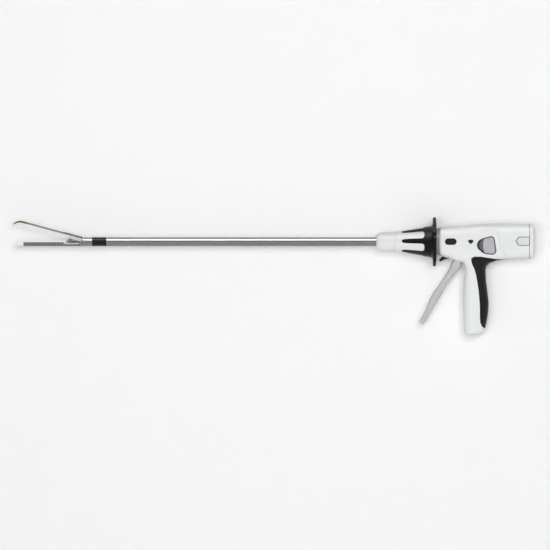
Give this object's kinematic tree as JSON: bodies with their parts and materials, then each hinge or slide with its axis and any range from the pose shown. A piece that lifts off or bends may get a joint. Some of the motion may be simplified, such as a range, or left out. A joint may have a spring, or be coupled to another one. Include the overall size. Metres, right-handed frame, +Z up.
{
  "type": "endoscopic linear cutter",
  "caption": "Powered endoscopic linear cutter stapler: pistol grip, closing trigger, rotation knob, long steel shaft, articulation joint and opening staple jaws",
  "frame": {"origin": "on the shaft's axis where the tube leaves the nose cone", "axes": "-X along the shaft to the jaws, +Z up, the grip hangs to -Z, -Y is the user's left side"},
  "size_m": [0.7193, 0.068, 0.1616],
  "materials": {
    "housing_white": "fine-textured moulded white plastic",
    "soft_black": "soft black overmoulding",
    "collar_grey": "mid grey plastic",
    "control_black": "smooth black plastic",
    "control_grey": "satin light grey plastic",
    "window_dark": "dark translucent plastic",
    "steel": "brushed stainless steel",
    "dark_steel": "dark coated stainless steel",
    "joint_black": "black coated metal-filled plastic",
    "cartridge_white": "white moulded plastic",
    "tip_gold": "gold-coloured satin tip",
    "inner_metal": "machined aluminium",
    "inner_brass": "plain brass",
    "board_green": "coated circuit board",
    "battery_dark": "black plastic",
    "cell_blue": "shrink-wrapped cell"
  },
  "bodies": {
    "handle": {"housing_left": "housing_white", "housing_right": "housing_white", "grip_overmould": "soft_black", "front_collar": "collar_grey", "housing_screws": "steel", "status_window": "window_dark", "release_bezel_left": "collar_grey", "release_bezel_right": "collar_grey", "circuit_board": "board_green", "motor": "steel", "gearbox": "steel", "gearbox_mount": "inner_metal", "battery_contacts": "inner_brass", "trigger_pin": "steel", "fire_pin": "steel", "closure_spring": "steel"},
    "trigger": {"closing_trigger": "control_grey", "trigger_drive_pin": "steel"},
    "lever": {"fire_lever": "control_black"},
    "rocker_l": {"rocker_left": "control_black"},
    "rocker_r": {"rocker_right": "control_black"},
    "release_l": {"release_button_left": "control_grey"},
    "release_r": {"release_button_right": "control_grey"},
    "yoke": {"closure_yoke": "inner_metal"},
    "screw": {"lead_screw": "steel"},
    "firing": {"firing_rod": "steel", "drive_nut": "inner_brass"},
    "battery": {"battery_case": "battery_dark", "battery_cap": "housing_white", "battery_cells": "cell_blue"},
    "latch_l": {"battery_latch_left": "housing_white"},
    "latch_r": {"battery_latch_right": "housing_white"},
    "shaft": {"nose_cone": "housing_white", "knob_body": "housing_white", "knob_grip": "soft_black", "shaft_tube": "steel", "knuckle_base": "joint_black", "knuckle_pins": "steel"},
    "head": {"drive_band": "steel", "knuckle_link": "joint_black", "jaw_tube": "steel", "channel": "dark_steel", "anvil_pin": "steel", "cartridge": "cartridge_white"},
    "upper_jaw": {"anvil": "steel", "anvil_tip": "tip_gold"},
    "knife": {"knife_blade": "steel"},
    "sled": {"wedge_sled": "inner_brass"}
  },
  "joints": [
    {"name": "knob_rotation", "type": "hinge", "parent": "handle", "child": "shaft", "pos_m": [0, 0, 0], "axis": [-1, 0, 0], "continuous": true},
    {"name": "articulation", "type": "hinge", "parent": "shaft", "child": "head", "pos_m": [-0.38235, 0, 0], "axis": [0, 0, 1], "range_deg": [-45, 45], "deforming": ["drive_band"]},
    {"name": "anvil_close", "type": "hinge", "parent": "head", "child": "upper_jaw", "pos_m": [-0.4034, 0, 0.001], "axis": [0, -1, 0], "range_deg": [0, 15.3]},
    {"name": "trigger_squeeze", "type": "hinge", "parent": "handle", "child": "trigger", "pos_m": [0.11397, 0, -0.0215], "axis": [0, -1, 0], "range_deg": [0, 29], "stiffness_Nm_per_rad": 0.6, "springref_deg": -17.19},
    {"name": "yoke_slide", "type": "slide", "parent": "handle", "child": "yoke", "axis": [-1, 0, 0], "range_m": [0, 0.00501], "deforming": ["closure_spring"]},
    {"name": "firing_slide", "type": "slide", "parent": "handle", "child": "firing", "axis": [-1, 0, 0], "range_m": [0, 0.054]},
    {"name": "screw_turn", "type": "hinge", "parent": "handle", "child": "screw", "pos_m": [0, 0, 0], "axis": [1, 0, 0], "range_deg": [0, 2160]},
    {"name": "knife_slide", "type": "slide", "parent": "head", "child": "knife", "axis": [-1, 0, 0], "range_m": [0, 0.054]},
    {"name": "sled_slide", "type": "slide", "parent": "head", "child": "sled", "axis": [-1, 0, 0], "range_m": [0, 0.054]},
    {"name": "fire_pull", "type": "hinge", "parent": "handle", "child": "lever", "pos_m": [0.0992, 0, -0.021], "axis": [0, -1, 0], "range_deg": [0, 15], "stiffness_Nm_per_rad": 0.15, "springref_deg": -14.32},
    {"name": "rocker_left_tilt", "type": "hinge", "parent": "handle", "child": "rocker_l", "pos_m": [0.1024, -0.0173, 0], "axis": [0, 0, 1], "range_deg": [-6, 6], "stiffness_Nm_per_rad": 0.08},
    {"name": "rocker_right_tilt", "type": "hinge", "parent": "handle", "child": "rocker_r", "pos_m": [0.1024, 0.0173, 0], "axis": [0, 0, 1], "range_deg": [-6, 6], "stiffness_Nm_per_rad": 0.08},
    {"name": "release_left_press", "type": "slide", "parent": "handle", "child": "release_l", "axis": [0, 1, 0], "range_m": [0, 0.0025], "stiffness_N_per_m": 600, "springref_m": -0.001},
    {"name": "release_right_press", "type": "slide", "parent": "handle", "child": "release_r", "axis": [0, -1, 0], "range_m": [0, 0.0025], "stiffness_N_per_m": 600, "springref_m": -0.001},
    {"name": "battery_slide", "type": "slide", "parent": "handle", "child": "battery", "axis": [1, 0, 0], "range_m": [0, 0.06]},
    {"name": "latch_left_press", "type": "hinge", "parent": "battery", "child": "latch_l", "pos_m": [0.2101, -0.0205, 0], "axis": [0, 0, -1], "range_deg": [0, 3], "stiffness_Nm_per_rad": 0.2, "springref_deg": -1.15},
    {"name": "latch_right_press", "type": "hinge", "parent": "battery", "child": "latch_r", "pos_m": [0.2101, 0.0205, 0], "axis": [0, 0, 1], "range_deg": [0, 3], "stiffness_Nm_per_rad": 0.2, "springref_deg": -1.15}
  ],
  "couplings": [
    {"joint": "yoke_slide", "follows": "trigger_squeeze", "m_per_rad": 0.0098936},
    {"joint": "anvil_close", "follows": "trigger_squeeze", "ratio": 0.52759},
    {"joint": "knife_slide", "follows": "firing_slide", "ratio": 1},
    {"joint": "sled_slide", "follows": "firing_slide", "ratio": 1},
    {"joint": "screw_turn", "follows": "firing_slide", "rad_per_m": 698.13}
  ]
}
